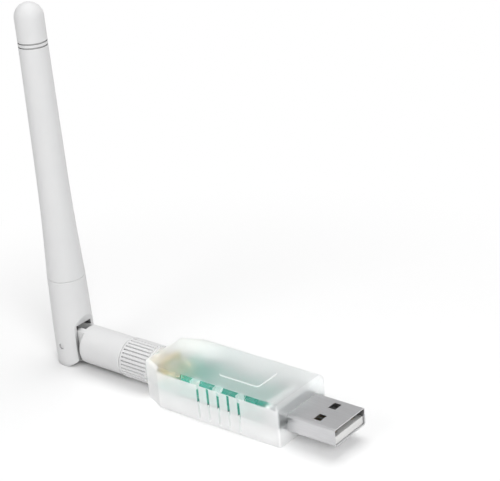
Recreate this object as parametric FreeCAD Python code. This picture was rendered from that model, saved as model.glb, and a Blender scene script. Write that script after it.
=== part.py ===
import FreeCAD, Part
import math
import os

# A radio stick for a smart home hub: a clear plastic housing holds a circuit board with a
# USB plug at one end and a coaxial jack at the other, where a folding rod antenna screws on.
# Millimetres. +X points out of the plug, +Z up, and the origin is the centre of the
# housing's underside.

# Housing
HOUSING_LENGTH = 43.0
HOUSING_WIDTH = 18.2
HOUSING_HEIGHT = 11.3
NOSE_LENGTH = 5.8
NOSE_WIDTH = 13.3
SIDE_WALL = 1.1
TOP_WALL = 1.2
USB_WALL = 2.3
NOSE_WALL = 1.6
EDGE_ROUND = 1.0
CORNER_ROUND = 0.5
LIP_HEIGHT = 0.8
LIP_WALL = 0.5
LIP_GAP = 0.05
PANEL_LENGTH = 12.3
PANEL_WIDTH = 8.0
PANEL_RISE = 0.3
PANEL_ROUND = 1.0
PANEL_CHAMFER = 0.15
PANEL_X = 5.8
VENT_COUNT = 5
VENT_PITCH = 3.13
VENT_WIDTH = 0.7
VENT_X = 3.5
VENT_MARGIN = 0.15
GUSSET_COUNT = 3
GUSSET_PITCH = 7.05
GUSSET_WIDTH = 2.0
GUSSET_DEPTH = 2.0
GUSSET_DROP = 1.8
GUSSET_X = 2.2
POST_RADIUS = 1.3
PIN_RADIUS = 0.7
PIN_REACH = 2.2
PIN_FIT = 0.02
POST_END_GAP = 0.3
POST_NOSE_INSET = 3.5
POST_SIDE_GAP = 0.5

# Circuit board
BOARD_THICKNESS = 1.6
BOARD_GAP = 0.3
BOARD_HOLE_GAP = 0.1

# USB plug
PLUG_WIDTH = 12.0
PLUG_HEIGHT = 4.5
PLUG_SHEET = 0.3
PLUG_CORNER = 0.6
PLUG_EXPOSED = 13.5
PLUG_LENGTH = 18.75
PLUG_FIT = 0.05
WINDOW_LENGTH = 2.0
WINDOW_WIDTH = 2.6
WINDOW_Y = 2.9
WINDOW_FROM_TIP = 5.15
SEAM_GAP = 0.1
TONGUE_THICKNESS = 1.95
TONGUE_RECESS = 0.4
TONGUE_FIT = 0.1
BLOCK_FROM_TIP = 12.4
BLOCK_TAIL = 1.6
TAB_LENGTH = 3.5
TAB_HEIGHT = 2.6
TAB_GAP = 0.15
CONTACT_WIDTH = 1.0
CONTACT_SHEET = 0.3
CONTACT_PROUD = 0.1
CONTACT_FOOT = 1.5
OUTER_CONTACT_Y = 3.5
INNER_CONTACT_Y = 1.0
OUTER_CONTACT_RECESS = 1.2
INNER_CONTACT_RECESS = 2.2

# Coaxial jack on the board's edge
JACK_THREAD_RADIUS = 3.175
JACK_REACH = 7.9
JACK_FLANGE = 6.35
JACK_FLANGE_THICKNESS = 1.6
JACK_LEG = 1.0
JACK_LEG_LENGTH = 4.0
JACK_CHAMFER = 0.3
JACK_BORE_RADIUS = 2.3
JACK_BORE_DEPTH = 2.0
JACK_INSULATOR_RADIUS = 2.05
JACK_SOCKET_RADIUS = 0.635
JACK_TAIL_RADIUS = 0.45
JACK_TAIL_LENGTH = 2.2
JACK_HOLE_GAP = 0.15

# Antenna plug and its coupling nut
NUT_STANDOFF = 2.1
NUT_LENGTH = 9.1
NUT_FLATS = 7.6
NUT_INSET = 0.4
NUT_LIP = 1.0
THREAD_GAP = 0.05
GRIP_RADIUS = 5.17
GRIP_RIBS = 32
GRIP_RIB_DEPTH = 0.42
GRIP_RIB_SHARE = 0.6
GRIP_RIM = 0.8
GRIP_CHAMFER = 0.4
GRIP_COLLAR = 0.6
COLLAR_RADIUS = 3.1
COLLAR_GAP = 0.1
FERRULE_FIT = 0.03
STEM_RADIUS = 2.5
STEM_LENGTH = 7.5
STEM_HEAD_RADIUS = 2.9
STEM_HEAD_LENGTH = 1.5
SWIVEL_FIT = 0.05
PLUG_PIN_RADIUS = 0.455
PLUG_PIN_REACH = 2.2
PLUG_PIN_FIT = 0.025
PLUG_INSULATOR_RADIUS = 1.6
PLUG_INSULATOR_LENGTH = 4.0
COAX_RADIUS = 1.25
COAX_FIT = 0.05

# Elbow and mast
SWIVEL_GAP = 0.1
BARREL_RADIUS = 5.0
BARREL_LENGTH = 14.15
BARREL_ROUND = 0.8
BARREL_CHAMFER = 0.3
EAR_GAP = 0.3
TONGUE_WIDTH = 5.0
CHEEK_GAP = 0.1
EAR_FRONT = 3.9
HINGE_PIN_RADIUS = 0.8
HINGE_PIN_INSET = 0.35
HINGE_FIT = 0.05
COAX_CHANNEL_RISE = 1.3
MAST_BASE_RADIUS = 5.2
CROTCH_BEVEL_RISE = 2.7
MAST_SEAM_RADIUS = 4.95
MAST_SEAM_RISE = 18.5
MAST_SEAM_GROOVE = 0.2
MAST_BEND_RADIUS = 4.06
MAST_BEND_RISE = 36.0
MAST_BEND_REACH = 12.0
MAST_TIP_RADIUS = 3.66
MAST_RISE = 90.7
MAST_BORE_RADIUS = 2.75
MAST_TIP_WALL = 2.4
SPIGOT_RADIUS = 3.1
SPIGOT_LENGTH = 7.0
SPIGOT_FIT = 0.02
RING_GROOVE_WIDTH = 0.35
RING_GROOVE_DEPTH = 0.3
RING_GROOVE_PITCH = 1.0
RING_GROOVE_DROP = 10.6
ROOF_GAP = 0.65
RADIATOR_RADIUS = 2.2
RADIATOR_SHEET = 0.25
RADIATOR_LENGTH = 24.0
WIRE_RADIUS = 0.5
WIRE_LENGTH = 26.0
WIRE_END_GAP = 2.3
SPACER_LENGTH = 2.0
SPACER_INSET = 1.5

# Places that follow from the sizes
USB_FACE = HOUSING_LENGTH / 2
NOSE_FACE = -HOUSING_LENGTH / 2
AXIS_Z = HOUSING_HEIGHT / 2
BOARD_TOP = AXIS_Z - JACK_TAIL_RADIUS
BOARD_BOTTOM = BOARD_TOP - BOARD_THICKNESS
PLUG_TIP = USB_FACE + PLUG_EXPOSED
PLUG_REAR = PLUG_TIP - PLUG_LENGTH
BLOCK_REAR = PLUG_REAR - BLOCK_TAIL
NOSE_INNER = NOSE_FACE + NOSE_WALL
BOARD_REAR = NOSE_INNER + JACK_FLANGE_THICKNESS
JACK_MOUTH = NOSE_FACE - JACK_REACH
REFERENCE_X = JACK_MOUTH + JACK_BORE_DEPTH
NUT_FRONT = NOSE_FACE - NUT_STANDOFF
NUT_REAR = NUT_FRONT - NUT_LENGTH
COLLAR_REAR = NUT_REAR + NUT_LIP + COLLAR_GAP
STEM_REAR = COLLAR_REAR - STEM_LENGTH
BARREL_FRONT = NUT_REAR - SWIVEL_GAP
SHOULDER_X = BARREL_FRONT - BARREL_LENGTH
EAR_END = AXIS_Z
PIVOT_X = SHOULDER_X - EAR_END - EAR_GAP
ROOF_Z = AXIS_Z + BARREL_RADIUS + ROOF_GAP
SEAM_Z = AXIS_Z + MAST_SEAM_RISE
RADIATOR_TOP_Z = AXIS_Z + MAST_RISE - MAST_TIP_WALL - WIRE_END_GAP - WIRE_LENGTH
RADIATOR_BOTTOM_Z = RADIATOR_TOP_Z - RADIATOR_LENGTH
POST_FRONT_X = PLUG_REAR - TAB_LENGTH - TAB_GAP - POST_END_GAP - POST_RADIUS
POST_REAR_X = NOSE_FACE + NOSE_LENGTH + POST_NOSE_INSET
POST_Y = HOUSING_WIDTH / 2 - SIDE_WALL - POST_RADIUS - POST_SIDE_GAP


def vec(x, y, z):
    return FreeCAD.Vector(x, y, z)


def box(x0, x1, y0, y1, z0, z1):
    return Part.makeBox(x1 - x0, y1 - y0, z1 - z0, vec(x0, y0, z0))


def rod_x(radius, x0, x1, y=0.0, z=AXIS_Z):
    return Part.makeCylinder(radius, x1 - x0, vec(x0, y, z), vec(1, 0, 0))


def rod_y(radius, y0, y1, x, z):
    return Part.makeCylinder(radius, y1 - y0, vec(x, y0, z), vec(0, 1, 0))


def rod_z(radius, z0, z1, x, y):
    return Part.makeCylinder(radius, z1 - z0, vec(x, y, z0), vec(0, 0, 1))


def fused(first, *others):
    return first.fuse(list(others)).removeSplitter()


def cut(body, *tools):
    result = body.cut(list(tools))
    solids = result.Solids
    return solids[0] if len(solids) == 1 else result


def turned_x(profile):
    """Solid of revolution about the antenna axis from (x, radius) points."""
    points = [vec(x, 0, AXIS_Z + r) for x, r in profile]
    face = Part.Face(Part.makePolygon(points + [points[0]]))
    return face.revolve(vec(0, 0, AXIS_Z), vec(1, 0, 0), 360)


def turned_mast(edges):
    """Solid of revolution about the mast axis from edges drawn in the XZ plane."""
    face = Part.Face(Part.Wire(edges))
    return face.revolve(vec(PIVOT_X, 0, 0), vec(0, 0, 1), 360)


def line(start, end):
    return Part.LineSegment(start, end).toShape()


def rounded_bar_x(x0, x1, width, height, radius):
    """Bar along X with a rounded rectangular section centred on the plug's axis."""
    bar = box(x0, x1, -width / 2, width / 2, AXIS_Z - height / 2, AXIS_Z + height / 2)
    edges = [e for e in bar.Edges if abs(e.tangentAt(e.FirstParameter).x) > 0.99]
    return bar.makeFillet(radius, edges)


def edges_at(shape, z):
    """Edges of a shape that lie wholly in one level plane."""
    return [e for e in shape.Edges if all(abs(v.Z - z) < 1e-6 for v in e.Vertexes)]


def upright_edges(shape):
    """Straight edges that stand upright, without the seams of round posts."""
    found = []
    for e in shape.Edges:
        if isinstance(e.Curve, Part.Line) and abs(e.tangentAt(e.FirstParameter).z) > 0.99:
            found.append(e)
    return found


def housing_outline(side, usb, nose):
    """Plan outline of the housing, moved inwards by a wall at the sides and each end."""
    run = NOSE_LENGTH
    rise = (HOUSING_WIDTH - NOSE_WIDTH) / 2
    slope = math.hypot(run, rise)
    half = HOUSING_WIDTH / 2 - side
    front = USB_FACE - usb
    back = NOSE_FACE + nose
    bend_x = NOSE_FACE + run + side * (slope - run) / rise
    nose_half = half - (bend_x - back) * rise / run
    points = [(front, -half), (front, half), (bend_x, half)]
    points += [(back, nose_half), (back, -nose_half), (bend_x, -half)]
    return points


def housing_prism(side, usb, nose, z0, z1):
    points = [vec(x, y, z0) for x, y in housing_outline(side, usb, nose)]
    face = Part.Face(Part.makePolygon(points + [points[0]]))
    return face.extrude(vec(0, 0, z1 - z0))


def half_shell():
    """The walls of the upper half, with its openings for the plug and the jack."""
    outer = housing_prism(0, 0, 0, AXIS_Z, HOUSING_HEIGHT)
    outer = outer.makeFillet(CORNER_ROUND, upright_edges(outer))
    outer = outer.makeFillet(EDGE_ROUND, edges_at(outer, HOUSING_HEIGHT))
    hollow = housing_prism(SIDE_WALL, USB_WALL, NOSE_WALL, AXIS_Z, HOUSING_HEIGHT - TOP_WALL)
    plug_hole = rounded_bar_x(USB_FACE - USB_WALL, USB_FACE, PLUG_WIDTH + 2 * PLUG_FIT,
                              PLUG_HEIGHT + 2 * PLUG_FIT, PLUG_CORNER)
    jack_hole = rod_x(JACK_THREAD_RADIUS + JACK_HOLE_GAP, NOSE_FACE, NOSE_INNER)
    return cut(outer, hollow, plug_hole, jack_hole)


def lip(gap):
    """Band inside the parting line, where one half of the housing locates the other."""
    wall = LIP_WALL + gap
    margin = LIP_WALL - gap
    top = AXIS_Z + LIP_HEIGHT + gap
    outer = housing_prism(SIDE_WALL - wall, USB_WALL - wall, NOSE_WALL - wall, AXIS_Z, top)
    inner = housing_prism(SIDE_WALL, USB_WALL, NOSE_WALL, AXIS_Z, top)
    clear_plug = box(USB_FACE - USB_WALL - margin, USB_FACE, -PLUG_WIDTH / 2 - margin,
                     PLUG_WIDTH / 2 + margin, AXIS_Z, top)
    clear_jack = box(NOSE_FACE, NOSE_INNER + margin, -JACK_FLANGE / 2 - margin,
                     JACK_FLANGE / 2 + margin, AXIS_Z, top)
    return cut(outer, inner, clear_plug, clear_jack)


def vents():
    """Upright slots through both side walls, one row each side."""
    low = EDGE_ROUND + VENT_MARGIN
    high = HOUSING_HEIGHT - EDGE_ROUND - VENT_MARGIN
    half = VENT_WIDTH / 2
    reach = HOUSING_WIDTH / 2
    inner = reach - SIDE_WALL - LIP_WALL
    slots = []
    for number in range(VENT_COUNT):
        x = VENT_X + (number - (VENT_COUNT - 1) / 2) * VENT_PITCH
        for y0, y1 in ((-reach, -inner), (inner, reach)):
            slots.append(box(x - half, x + half, y0, y1, low, high))
    return slots


def gussets():
    """Short webs under the top, against each side wall."""
    webs = []
    wall = HOUSING_WIDTH / 2 - SIDE_WALL
    ceiling = HOUSING_HEIGHT - TOP_WALL
    for number in range(GUSSET_COUNT):
        x = GUSSET_X + (number - (GUSSET_COUNT - 1) / 2) * GUSSET_PITCH - GUSSET_WIDTH / 2
        for side in (-1, 1):
            corner = vec(x, side * wall, ceiling)
            inner = vec(x, side * (wall - GUSSET_DEPTH), ceiling)
            lower = vec(x, side * wall, ceiling - GUSSET_DROP)
            face = Part.Face(Part.makePolygon([corner, inner, lower, corner]))
            webs.append(face.extrude(vec(GUSSET_WIDTH, 0, 0)))
    return webs


def post_places():
    return [(x, side * POST_Y) for x in (POST_FRONT_X, POST_REAR_X) for side in (-1, 1)]


def raised_panel():
    """Low plateau on the top, with rounded corners and a fine chamfer round its rim."""
    x0 = PANEL_X - PANEL_LENGTH / 2
    top = HOUSING_HEIGHT + PANEL_RISE
    panel = box(x0, x0 + PANEL_LENGTH, -PANEL_WIDTH / 2, PANEL_WIDTH / 2,
                HOUSING_HEIGHT - TOP_WALL, top)
    panel = panel.makeFillet(PANEL_ROUND, upright_edges(panel))
    return panel.makeChamfer(PANEL_CHAMFER, edges_at(panel, top))


def upper_shell():
    shell = half_shell()
    ceiling = HOUSING_HEIGHT - TOP_WALL
    posts = [rod_z(POST_RADIUS, BOARD_TOP, ceiling, x, y) for x, y in post_places()]
    shell = fused(shell, raised_panel(), *(gussets() + posts))
    socket_top = BOARD_TOP + PIN_REACH + PIN_FIT
    sockets = [rod_z(PIN_RADIUS + PIN_FIT, BOARD_TOP, socket_top, x, y) for x, y in post_places()]
    return cut(shell, lip(LIP_GAP), *(sockets + vents()))


def lower_shell():
    shell = half_shell().mirror(vec(0, 0, AXIS_Z), vec(0, 0, 1))
    posts = [rod_z(POST_RADIUS, TOP_WALL, BOARD_BOTTOM, x, y) for x, y in post_places()]
    pins = [rod_z(PIN_RADIUS, TOP_WALL, BOARD_TOP + PIN_REACH, x, y) for x, y in post_places()]
    shell = fused(shell, lip(0.0), *(posts + pins))
    return cut(shell, *vents())


def circuit_board():
    inset = SIDE_WALL + BOARD_GAP
    board = housing_prism(inset, USB_FACE - BLOCK_REAR, BOARD_REAR - NOSE_FACE,
                          BOARD_BOTTOM, BOARD_TOP)
    holes = [rod_z(PIN_RADIUS + BOARD_HOLE_GAP, BOARD_BOTTOM, BOARD_TOP, x, y)
             for x, y in post_places()]
    notches = []
    for side in (-1, 1):
        outer = side * (PLUG_WIDTH / 2 + TAB_GAP)
        inner = side * (PLUG_WIDTH / 2 - PLUG_SHEET - TAB_GAP)
        notches.append(box(PLUG_REAR - TAB_LENGTH - TAB_GAP, BLOCK_REAR, min(inner, outer),
                           max(inner, outer), BOARD_BOTTOM, BOARD_TOP))
    return cut(board, *(holes + notches))


def usb_plug_shell():
    """Folded sheet shell with four latch windows, a seam below and two side tabs."""
    inner_width = PLUG_WIDTH - 2 * PLUG_SHEET
    inner_height = PLUG_HEIGHT - 2 * PLUG_SHEET
    outer = rounded_bar_x(PLUG_REAR, PLUG_TIP, PLUG_WIDTH, PLUG_HEIGHT, PLUG_CORNER)
    inner = rounded_bar_x(PLUG_REAR, PLUG_TIP, inner_width, inner_height,
                          PLUG_CORNER - PLUG_SHEET)
    window_x = PLUG_TIP - WINDOW_FROM_TIP
    windows = []
    for side in (-1, 1):
        y = side * WINDOW_Y
        windows.append(box(window_x - WINDOW_LENGTH, window_x, y - WINDOW_WIDTH / 2,
                           y + WINDOW_WIDTH / 2, AXIS_Z - PLUG_HEIGHT, AXIS_Z + PLUG_HEIGHT))
    seam = box(PLUG_REAR, PLUG_TIP, -SEAM_GAP / 2, SEAM_GAP / 2,
               AXIS_Z - PLUG_HEIGHT, AXIS_Z)
    shell = cut(outer, inner, seam, *windows)
    tabs = []
    for side in (-1, 1):
        y0 = min(side * PLUG_WIDTH / 2, side * (PLUG_WIDTH / 2 - PLUG_SHEET))
        tabs.append(box(PLUG_REAR - TAB_LENGTH, PLUG_REAR, y0, y0 + PLUG_SHEET,
                        AXIS_Z - TAB_HEIGHT / 2, AXIS_Z + TAB_HEIGHT / 2))
    return fused(shell, *tabs)


TONGUE_BOTTOM = AXIS_Z - PLUG_HEIGHT / 2 + PLUG_SHEET
TONGUE_TOP = TONGUE_BOTTOM + TONGUE_THICKNESS
CONTACT_TOP = TONGUE_TOP + CONTACT_PROUD
CONTACTS = {
    "usb_contact_power": (-OUTER_CONTACT_Y, OUTER_CONTACT_RECESS),
    "usb_contact_data_minus": (-INNER_CONTACT_Y, INNER_CONTACT_RECESS),
    "usb_contact_data_plus": (INNER_CONTACT_Y, INNER_CONTACT_RECESS),
    "usb_contact_ground": (OUTER_CONTACT_Y, OUTER_CONTACT_RECESS),
}


def usb_contact(y, recess):
    """Flat blade on the tongue whose tail steps down onto the board."""
    front = PLUG_TIP - TONGUE_RECESS - recess
    bend = BLOCK_REAR - CONTACT_SHEET
    foot = bend - CONTACT_FOOT
    profile = [(front, CONTACT_TOP), (front, CONTACT_TOP - CONTACT_SHEET)]
    profile += [(BLOCK_REAR, CONTACT_TOP - CONTACT_SHEET), (BLOCK_REAR, BOARD_TOP)]
    profile += [(foot, BOARD_TOP), (foot, BOARD_TOP + CONTACT_SHEET)]
    profile += [(bend, BOARD_TOP + CONTACT_SHEET), (bend, CONTACT_TOP)]
    points = [vec(x, y - CONTACT_WIDTH / 2, z) for x, z in profile]
    face = Part.Face(Part.makePolygon(points + [points[0]]))
    return face.extrude(vec(0, CONTACT_WIDTH, 0))


def usb_insulator():
    """Tongue and rear block of the plug, moulded around the four contacts."""
    half = PLUG_WIDTH / 2 - PLUG_SHEET
    height = PLUG_HEIGHT - 2 * PLUG_SHEET
    front = PLUG_TIP - TONGUE_RECESS
    corner = PLUG_CORNER - PLUG_SHEET
    tongue = rounded_bar_x(PLUG_REAR, front, 2 * (half - TONGUE_FIT), height, corner)
    tongue = tongue.common(box(PLUG_REAR, front, -half, half, TONGUE_BOTTOM, TONGUE_TOP))
    block = rounded_bar_x(PLUG_REAR, PLUG_TIP - BLOCK_FROM_TIP, 2 * half, height, corner)
    tail_half = half - TONGUE_FIT
    tail = box(BLOCK_REAR, PLUG_REAR, -tail_half, tail_half, TONGUE_BOTTOM, TONGUE_BOTTOM + height)
    body = fused(tongue, block, tail)
    return cut(body, *[usb_contact(y, recess) for y, recess in CONTACTS.values()])


def antenna_jack():
    """Barrel with a chamfered mouth, square flange and four legs round the board's edge."""
    chamfer = JACK_CHAMFER
    barrel = turned_x([(NOSE_INNER, JACK_INSULATOR_RADIUS), (NOSE_INNER, JACK_THREAD_RADIUS),
                       (JACK_MOUTH + chamfer, JACK_THREAD_RADIUS),
                       (JACK_MOUTH, JACK_THREAD_RADIUS - chamfer),
                       (JACK_MOUTH, JACK_BORE_RADIUS), (REFERENCE_X, JACK_BORE_RADIUS),
                       (REFERENCE_X, JACK_INSULATOR_RADIUS)])
    half = JACK_FLANGE / 2
    flange = box(NOSE_INNER, BOARD_REAR, -half, half, AXIS_Z - half, AXIS_Z + half)
    flange = cut(flange, rod_x(JACK_INSULATOR_RADIUS, NOSE_INNER, BOARD_REAR))
    legs = []
    for side in (-1, 1):
        y0 = side * half if side < 0 else half - JACK_LEG
        for z0 in (BOARD_TOP, BOARD_BOTTOM - JACK_LEG):
            legs.append(box(BOARD_REAR, BOARD_REAR + JACK_LEG_LENGTH, y0, y0 + JACK_LEG,
                            z0, z0 + JACK_LEG))
    return fused(barrel, flange, *legs)


def jack_insulator():
    sleeve = rod_x(JACK_INSULATOR_RADIUS, REFERENCE_X, BOARD_REAR)
    return cut(sleeve, rod_x(JACK_SOCKET_RADIUS, REFERENCE_X, BOARD_REAR))


def jack_contact():
    """Centre socket that takes the plug's pin, with a tail on the board."""
    bore = PLUG_PIN_RADIUS + PLUG_PIN_FIT
    depth = REFERENCE_X + PLUG_PIN_REACH + PLUG_PIN_RADIUS
    tail = BOARD_REAR + JACK_TAIL_LENGTH
    return turned_x([(REFERENCE_X, bore), (REFERENCE_X, JACK_SOCKET_RADIUS),
                     (BOARD_REAR, JACK_SOCKET_RADIUS), (BOARD_REAR, JACK_TAIL_RADIUS),
                     (tail, JACK_TAIL_RADIUS), (tail, 0), (depth, 0), (depth, bore)])


def on_board(x, y, length, width, height, lift=0.0):
    """Block centred at a place on the board's upper face."""
    z0 = BOARD_TOP + lift
    return box(x - length / 2, x + length / 2, y - width / 2, y + width / 2, z0, z0 + height)


def under_board(shape):
    """Turns a component over from the board's upper face to its lower face."""
    return shape.mirror(vec(0, 0, (BOARD_TOP + BOARD_BOTTOM) / 2), vec(0, 0, 1))


# Components: x and y of the centre, length, width and height. The radio's side of the board
# is laid out from the rear posts and the USB side from the front ones.
LED_INSET = 0.6
RADIO_CHIP = (POST_REAR_X + 6.4, 0.0, 7.0, 7.0, 0.9)
BRIDGE_CHIP = (POST_FRONT_X - 3.4, 1.4, 4.0, 4.0, 0.85)
RADIO_CRYSTAL = (POST_REAR_X + 1.0, -1.8, 2.5, 2.0, 0.6)
CLOCK_CRYSTAL = (POST_FRONT_X - 4.0, -4.4, 3.2, 1.5, 0.8)
REGULATOR = (POST_FRONT_X - 4.2, 5.1, 2.9, 1.6, 1.1)
POWER_LED = (POST_FRONT_X - 3.6, POST_Y - LED_INSET, 1.6, 0.8, 0.6)
STATUS_LED = (POST_FRONT_X - 6.4, POST_Y - LED_INSET, 1.6, 0.8, 0.6)
MARK_DEPTH = 0.1
CASE_CHAMFER = 0.08
LEAD_WIDTH = 0.4
LEAD_SHEET = 0.15
LEAD_REACH = 0.6
LEAD_PITCH = 0.95
CAN_ROUND = 0.3


def chip(place):
    """Flat moulded chip with chamfered top edges and a dimple for its first pin."""
    x, y, length, width, height = place
    body = on_board(x, y, length, width, height)
    body = body.makeChamfer(CASE_CHAMFER, edges_at(body, BOARD_TOP + height))
    mark_radius = length / 16
    mark = rod_z(mark_radius, BOARD_TOP + height - MARK_DEPTH, BOARD_TOP + height,
                 x - length / 2 + 3 * mark_radius, y - width / 2 + 3 * mark_radius)
    return cut(body, mark)


def crystal(place):
    """Metal can with rounded upright corners on a ceramic base."""
    x, y, length, width, height = place
    rim = CAN_ROUND / 2
    base = on_board(x, y, length, width, height / 2)
    can = on_board(x, y, length - 2 * rim, width - 2 * rim, height / 2, height / 2)
    can = can.makeFillet(CAN_ROUND, upright_edges(can))
    return fused(base, can)


def voltage_regulator():
    """Small moulded case with three leads on one side and two on the other."""
    x, y, length, width, height = REGULATOR
    body = on_board(x, y, length, width, height - LEAD_SHEET, LEAD_SHEET)
    body = body.makeChamfer(CASE_CHAMFER, edges_at(body, BOARD_TOP + height))
    leads = []
    for side, places in ((-1, (-1, 0, 1)), (1, (-1, 1))):
        for place in places:
            reach = width / 2 + LEAD_REACH
            lead_y = y + side * reach / 2
            leads.append(on_board(x + place * LEAD_PITCH, lead_y, LEAD_WIDTH, reach, LEAD_SHEET))
    return fused(body, *leads)


def led(place):
    """Status light: a flat base with a narrower clear dome on it."""
    x, y, length, width, height = place
    base = on_board(x, y, length, width, height / 3)
    dome = on_board(x, y, length * 0.7, width, height * 2 / 3, height / 3)
    dome = dome.makeFillet(width / 8, edges_at(dome, BOARD_TOP + height))
    return fused(base, dome)


CHIP_LENGTH = 1.0
CHIP_WIDTH = 0.5
CHIP_HEIGHT = 0.45
CHIP_CAP = 0.2
CHIP_CAP_PROUD = 0.03
RADIO_CAPACITORS = [(1.2, 0.8), (1.2, 2.2), (4.2, 4.6), (6.2, 4.6), (8.2, 4.6),
                    (11.0, -1.4), (11.0, 0.2), (11.0, 1.8)]
USB_CAPACITORS = [(-4.6, -2.7), (-2.6, -2.7), (-0.4, -1.0), (-0.4, -2.4)]
RADIO_RESISTORS = [(4.2, -4.6), (6.2, -4.6), (8.2, -4.6)]
USB_RESISTORS = [(-0.4, 0.4), (-0.4, 1.8), (-0.4, 3.2), (-5.0, -1.7), (-3.0, -1.7)]


def chip_group(radio_side, usb_side):
    """Two-terminal parts of one kind, each a block between two raised end caps."""
    parts = []
    middle = CHIP_LENGTH - 2 * CHIP_CAP
    wide = CHIP_WIDTH + 2 * CHIP_CAP_PROUD
    places = [(POST_REAR_X + dx, y) for dx, y in radio_side]
    places += [(POST_FRONT_X + dx, y) for dx, y in usb_side]
    for x, y in places:
        core = on_board(x, y, middle, CHIP_WIDTH, CHIP_HEIGHT)
        shift = (CHIP_LENGTH - CHIP_CAP) / 2
        caps = [on_board(x + s * shift, y, CHIP_CAP, wide, CHIP_HEIGHT + CHIP_CAP_PROUD)
                for s in (-1, 1)]
        parts.append(fused(core, *caps))
    return Part.makeCompound(parts)


def hexagon_bar(length):
    """Six-sided bar about the antenna axis, from the nut's rear end forwards."""
    corner = NUT_FLATS / 2 / math.cos(math.pi / 6)
    points = []
    for number in range(6):
        turn = math.radians(60 * number)
        points.append(vec(NUT_REAR, corner * math.cos(turn), AXIS_Z + corner * math.sin(turn)))
    return Part.Face(Part.makePolygon(points + [points[0]])).extrude(vec(length, 0, 0))


def coupling_nut():
    """Hexagonal nut with the thread's bore in front and an inner lip behind the collar."""
    hexagon = hexagon_bar(NUT_LENGTH - NUT_INSET)
    thread_bore = rod_x(JACK_THREAD_RADIUS + THREAD_GAP, NUT_REAR + NUT_LIP, NUT_FRONT)
    neck_bore = rod_x(STEM_RADIUS + COLLAR_GAP, NUT_REAR, NUT_REAR + NUT_LIP)
    return cut(hexagon, thread_bore, neck_bore)


def ribbed_section(x, crest, root, count, share):
    """Closed outline of straight ribs around the antenna axis."""
    points = []
    step = 2 * math.pi / count
    top = step * share / 2
    foot = step * (1 + share) / 4
    for number in range(count):
        middle = number * step
        for turn, radius in ((-foot, root), (-top, crest), (top, crest), (foot, root)):
            angle = middle + turn
            points.append(vec(x, radius * math.cos(angle), AXIS_Z + radius * math.sin(angle)))
    return Part.Face(Part.makePolygon(points + [points[0]]))


def nut_grip():
    """Plastic grip over the hexagonal nut: a plain rim, straight ribs and a front collar."""
    root = GRIP_RADIUS - GRIP_RIB_DEPTH
    ribs_rear = NUT_REAR + GRIP_RIM
    collar_front = NUT_FRONT + GRIP_COLLAR
    section = ribbed_section(ribs_rear, GRIP_RADIUS, root, GRIP_RIBS, GRIP_RIB_SHARE)
    ribs = section.extrude(vec(NUT_FRONT - ribs_rear, 0, 0))
    rim = turned_x([(NUT_REAR, 0), (NUT_REAR, GRIP_RADIUS - GRIP_CHAMFER),
                    (NUT_REAR + GRIP_CHAMFER, GRIP_RADIUS), (ribs_rear, GRIP_RADIUS),
                    (ribs_rear, 0)])
    collar = rod_x(root, NUT_FRONT, collar_front)
    return cut(fused(ribs, rim, collar), hexagon_bar(collar_front - NUT_REAR))


def plug_ferrule():
    """Outer conductor: front sleeve in the jack, collar inside the nut, stem in the elbow."""
    sleeve = JACK_BORE_RADIUS - FERRULE_FIT
    front = REFERENCE_X - COLLAR_GAP
    bore = PLUG_INSULATOR_RADIUS
    coax_bore = COAX_RADIUS + COAX_FIT
    step = front - PLUG_INSULATOR_LENGTH
    return turned_x([(front, bore), (front, sleeve), (JACK_MOUTH, sleeve),
                     (JACK_MOUTH, COLLAR_RADIUS), (COLLAR_REAR, COLLAR_RADIUS),
                     (COLLAR_REAR, STEM_RADIUS), (STEM_REAR + STEM_HEAD_LENGTH, STEM_RADIUS),
                     (STEM_REAR + STEM_HEAD_LENGTH, STEM_HEAD_RADIUS),
                     (STEM_REAR, STEM_HEAD_RADIUS), (STEM_REAR, coax_bore),
                     (step, coax_bore), (step, bore)])


def plug_insulator():
    front = REFERENCE_X - COLLAR_GAP
    rear = front - PLUG_INSULATOR_LENGTH
    return cut(rod_x(PLUG_INSULATOR_RADIUS, rear, front), rod_x(PLUG_PIN_RADIUS, rear, front))


def plug_pin():
    """Centre pin with a rounded nose."""
    front = REFERENCE_X - COLLAR_GAP
    tip = front + PLUG_PIN_REACH
    rear = front - PLUG_INSULATOR_LENGTH
    nose = Part.makeSphere(PLUG_PIN_RADIUS, vec(tip - PLUG_PIN_RADIUS, 0, AXIS_Z))
    return fused(rod_x(PLUG_PIN_RADIUS, rear, tip - PLUG_PIN_RADIUS), nose)


def lower_coax():
    front = REFERENCE_X - COLLAR_GAP - PLUG_INSULATOR_LENGTH
    return rod_x(COAX_RADIUS, SHOULDER_X, front)


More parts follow.
